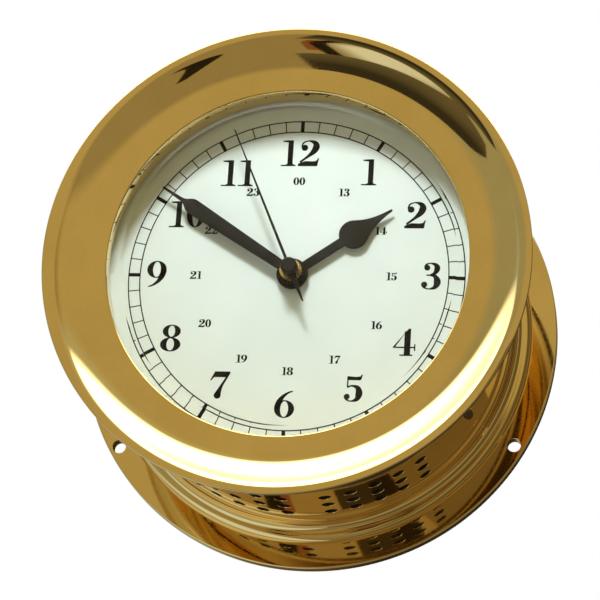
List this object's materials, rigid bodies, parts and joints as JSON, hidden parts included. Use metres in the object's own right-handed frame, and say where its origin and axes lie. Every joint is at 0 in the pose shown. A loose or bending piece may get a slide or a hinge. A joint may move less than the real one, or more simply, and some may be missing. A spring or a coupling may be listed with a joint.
{
  "type": "ship's bell clock",
  "caption": "Round brass bulkhead clock: flanged case with sound holes, screw-on bezel with bevelled crystal, white dial, centre hands and a battery bell movement.",
  "frame": {"origin": "centre of the wall flange's back face, which lies against the bulkhead", "axes": "-Y towards the viewer along the clock's axis, +Z towards twelve o'clock, +X towards three o'clock"},
  "size_m": [0.1514, 0.079, 0.1514],
  "materials": {
    "brass": "polished and lacquered",
    "gear_brass": "machined",
    "glass": "clear, bevelled edge",
    "rubber": "matte",
    "dial_white": "satin",
    "black_metal": "satin",
    "black_plastic": "matte",
    "white_plastic": "matte",
    "steel": "plated",
    "copper": "enamelled wire",
    "board": "satin",
    "cell_wrap": "plain printed sleeve",
    "cone_paper": "matte"
  },
  "bodies": {
    "case_body": {"case": "brass", "dial": "dial_white", "dial_screw_1": "steel", "dial_screw_2": "steel", "dial_screw_3": "steel", "movement_housing": "black_plastic", "movement_cover": "black_plastic", "cover_screw_1": "steel", "cover_screw_2": "steel", "cover_screw_3": "steel", "cover_screw_4": "steel", "dial_foot_nut_left": "steel", "dial_foot_nut_right": "steel", "stator": "steel", "coil": "copper", "circuit_board": "board", "quartz_can": "steel", "chime_chip": "black_plastic", "cell_low": "cell_wrap", "cell_high": "cell_wrap", "contact_positive": "steel", "contact_negative": "steel", "contact_bridge": "steel", "speaker_magnet": "steel", "speaker_frame": "black_metal", "speaker_cone": "cone_paper"},
    "gasket_body": {"crystal_gasket": "rubber"},
    "bezel_body": {"bezel": "brass", "crystal": "glass", "crystal_retainer": "brass"},
    "minute_body": {"minute_arbor": "gear_brass", "minute_hand": "black_metal", "hand_nut": "gear_brass"},
    "hour_body": {"hour_wheel": "gear_brass", "hour_hand": "black_metal"},
    "motion_body": {"motion_wheel": "gear_brass", "set_knob": "black_plastic"},
    "seconds_body": {"seconds_arbor": "gear_brass", "second_hand": "black_metal"},
    "third_body": {"third_wheel": "gear_brass"},
    "centre_body": {"centre_wheel": "gear_brass"},
    "intermediate_body": {"intermediate_wheel": "gear_brass"},
    "rotor_body": {"rotor": "steel"},
    "volume_body": {"volume_wheel": "black_plastic"},
    "switch_body": {"bell_switch": "white_plastic"},
    "door_body": {"battery_door": "black_plastic"}
  },
  "joints": [
    {"name": "bezel_advance", "type": "slide", "parent": "case_body", "child": "gasket_body", "axis": [0, -1, 0], "range_m": [0, 0.0045]},
    {"name": "bezel_turn", "type": "hinge", "parent": "gasket_body", "child": "bezel_body", "pos_m": [0, -0.07, 0], "axis": [0, -1, 0], "range_deg": [0, 1080]},
    {"name": "minute_turn", "type": "hinge", "parent": "case_body", "child": "minute_body", "pos_m": [0, -0.055, 0], "axis": [0, 1, 0], "continuous": true},
    {"name": "hour_turn", "type": "hinge", "parent": "case_body", "child": "hour_body", "pos_m": [0, -0.056, 0], "axis": [0, 1, 0], "continuous": true},
    {"name": "motion_turn", "type": "hinge", "parent": "case_body", "child": "motion_body", "pos_m": [0, -0.045, 0.012], "axis": [0, 1, 0], "continuous": true},
    {"name": "seconds_turn", "type": "hinge", "parent": "case_body", "child": "seconds_body", "pos_m": [0, -0.05, 0], "axis": [0, 1, 0], "continuous": true},
    {"name": "third_turn", "type": "hinge", "parent": "case_body", "child": "third_body", "pos_m": [-0.01005, -0.046, -0.0058], "axis": [0, 1, 0], "continuous": true},
    {"name": "centre_turn", "type": "hinge", "parent": "case_body", "child": "centre_body", "pos_m": [0, -0.05, 0], "axis": [0, 1, 0], "continuous": true},
    {"name": "intermediate_turn", "type": "hinge", "parent": "case_body", "child": "intermediate_body", "pos_m": [0.01005, -0.046, -0.0058], "axis": [0, 1, 0], "continuous": true},
    {"name": "rotor_turn", "type": "hinge", "parent": "case_body", "child": "rotor_body", "pos_m": [0.01706, -0.046, -0.00985], "axis": [0, 1, 0], "continuous": true},
    {"name": "volume_turn", "type": "hinge", "parent": "case_body", "child": "volume_body", "pos_m": [0.017, -0.033, 0.02], "axis": [0, 1, 0], "range_deg": [0, 270]},
    {"name": "switch_slide", "type": "slide", "parent": "case_body", "child": "switch_body", "axis": [1, 0, 0], "range_m": [0, 0.003]},
    {"name": "door_slide", "type": "slide", "parent": "case_body", "child": "door_body", "axis": [0, 0, 1], "range_m": [0, 0.034]}
  ],
  "couplings": [
    {"joint": "bezel_advance", "follows": "bezel_turn", "m_per_rad": 0.00023873},
    {"joint": "hour_turn", "follows": "minute_turn", "ratio": 0.083333},
    {"joint": "motion_turn", "follows": "minute_turn", "ratio": -0.33333},
    {"joint": "third_turn", "follows": "seconds_turn", "ratio": -0.13333},
    {"joint": "centre_turn", "follows": "seconds_turn", "ratio": 0.016667},
    {"joint": "intermediate_turn", "follows": "seconds_turn", "ratio": -6},
    {"joint": "rotor_turn", "follows": "seconds_turn", "ratio": 30}
  ]
}
